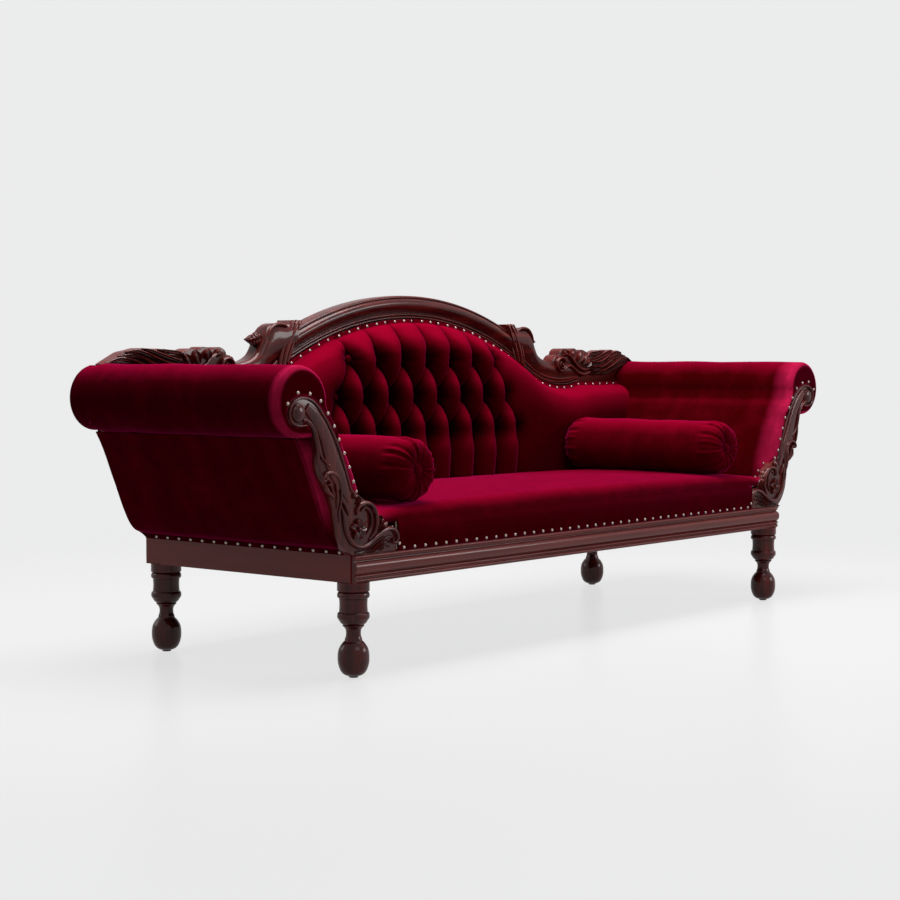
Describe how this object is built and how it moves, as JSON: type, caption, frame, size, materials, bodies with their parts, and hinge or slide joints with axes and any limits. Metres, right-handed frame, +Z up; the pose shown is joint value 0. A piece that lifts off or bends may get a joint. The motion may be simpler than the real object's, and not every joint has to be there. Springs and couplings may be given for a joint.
{
  "type": "fainting couch",
  "caption": "Scroll-arm camel-back settee with carved wooden show frame, deep-buttoned velvet back, turned legs and loose round end bolsters.",
  "frame": {"origin": "on the floor under the middle of the couch's overall box", "axes": "+X along the seat towards the arm on the sitter's left, +Y towards the back, +Z up"},
  "size_m": [2.406, 0.712, 0.9139],
  "materials": {
    "mahogany": "polished satin, dark red-brown",
    "frame_wood": "bare sawn hardwood",
    "crimson_velvet": "pile velvet",
    "nail_metal": "bright domed heads",
    "black_glide": "matt",
    "jute_webbing": "woven tape",
    "hessian": "coarse weave",
    "padding": "stuffing",
    "dust_cloth": "plain black cloth"
  },
  "bodies": {
    "couch_frame": {"corner_blocks": "frame_wood", "seat_stretchers": "frame_wood", "arm_front_post_left": "frame_wood", "arm_front_post_right": "frame_wood", "arm_rear_post_left": "frame_wood", "arm_rear_post_right": "frame_wood", "arm_roll_bar_left": "frame_wood", "arm_roll_bar_right": "frame_wood", "arm_slat_left": "frame_wood", "arm_slat_right": "frame_wood", "back_stiles": "frame_wood", "back_tack_rail": "frame_wood", "front_rail": "mahogany", "rear_rail": "mahogany", "side_rail_left": "mahogany", "side_rail_right": "mahogany", "legs_front": "mahogany", "legs_rear": "mahogany", "front_moulding": "mahogany", "arm_facing_left": "mahogany", "arm_facing_right": "mahogany", "crest_arch": "mahogany", "crest_shoulder_left": "mahogany", "crest_shoulder_right": "mahogany", "crest_finials": "mahogany", "crest_scrolls": "mahogany", "crest_plumes": "mahogany", "seat_cover": "crimson_velvet", "arm_pad_left": "crimson_velvet", "arm_pad_right": "crimson_velvet", "arm_outside_panel_left": "crimson_velvet", "arm_outside_panel_right": "crimson_velvet", "back_pad_buttoned": "crimson_velvet", "back_buttons": "crimson_velvet", "back_pad_wing_left": "crimson_velvet", "back_pad_wing_right": "crimson_velvet", "back_outside_panel": "crimson_velvet", "rail_nails": "nail_metal", "facing_nails": "nail_metal", "crest_nails": "nail_metal", "foot_glides": "black_glide", "seat_webbing_long": "jute_webbing", "seat_webbing_cross": "jute_webbing", "back_webbing": "jute_webbing", "seat_hessian": "hessian", "seat_padding": "padding", "dust_cover": "dust_cloth"},
    "left_bolster": {"bolster_left": "crimson_velvet", "bolster_buttons_left": "crimson_velvet"},
    "right_bolster": {"bolster_right": "crimson_velvet", "bolster_buttons_right": "crimson_velvet"}
  },
  "joints": [
    {"name": "left_bolster_lift", "type": "slide", "parent": "couch_frame", "child": "left_bolster", "axis": [0, 0, 1], "range_m": [0, 0.3]},
    {"name": "right_bolster_lift", "type": "slide", "parent": "couch_frame", "child": "right_bolster", "axis": [0, 0, 1], "range_m": [0, 0.3]}
  ]
}
